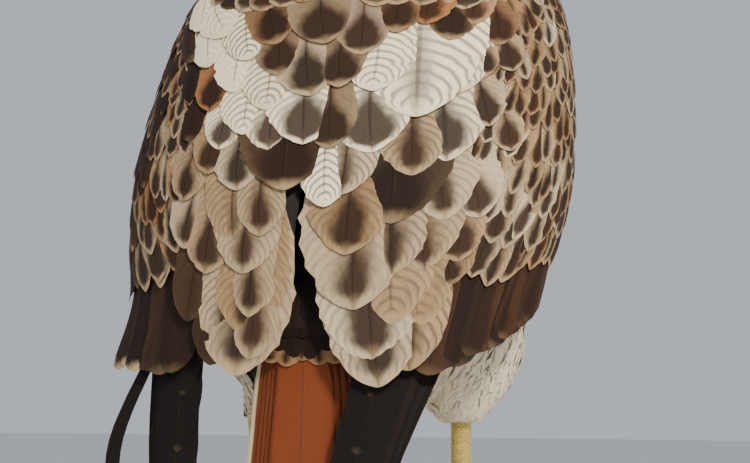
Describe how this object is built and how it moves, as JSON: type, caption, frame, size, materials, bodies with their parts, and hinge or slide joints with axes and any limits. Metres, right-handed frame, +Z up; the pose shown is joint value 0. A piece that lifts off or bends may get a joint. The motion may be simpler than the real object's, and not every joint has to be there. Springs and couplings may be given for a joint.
{
  "type": "red-tailed hawk model",
  "caption": "Life-size still model of a red-tailed hawk perched upright, seen from behind in its pose, on a cut branch held by a plain display stand",
  "frame": {"origin": "centre of the underside of the stand's base", "axes": "+Z is up, the hawk faces -Y, and its left side is towards +X"},
  "size_m": [0.236, 0.2305, 0.5521],
  "materials": {
    "plumage_head": "small dark brown feathers with tan edges",
    "plumage_body": "cream breast and belly feathers with a band of brown streaks",
    "plumage_leg": "pale buff leg feathers",
    "wing_feathers": "dark brown vanes with tan and white edges and pale blotches",
    "tail_feathers": "brick red vanes with a dark band near the tip and a pale tip",
    "eye": "dark brown glass eye with a black pupil",
    "bill": "slate horn, blue grey at the root and black at the tip",
    "skin": "yellow scaled skin",
    "claw": "black horn",
    "bark": "grey brown bark with pale cut ends",
    "stand_wood": "dark oiled wood",
    "stand_metal": "brushed round rod"
  },
  "bodies": {
    "root": {"head": "plumage_head", "neck": "plumage_head", "torso": "plumage_body", "thigh_left": "plumage_leg", "thigh_right": "plumage_leg", "wing_left": "wing_feathers", "wing_right": "wing_feathers", "tail": "tail_feathers", "eye_left": "eye", "eye_right": "eye", "bill_upper": "bill", "bill_lower": "bill", "cere": "skin", "tarsus_left": "skin", "tarsus_right": "skin", "foot_left": "skin", "foot_right": "skin", "claw_inner_left": "claw", "claw_middle_left": "claw", "claw_outer_left": "claw", "claw_hind_left": "claw", "claw_inner_right": "claw", "claw_middle_right": "claw", "claw_outer_right": "claw", "claw_hind_right": "claw", "perch": "bark", "stand_base": "stand_wood", "stand_rod_left": "stand_metal", "stand_rod_right": "stand_metal"}
  },
  "joints": []
}
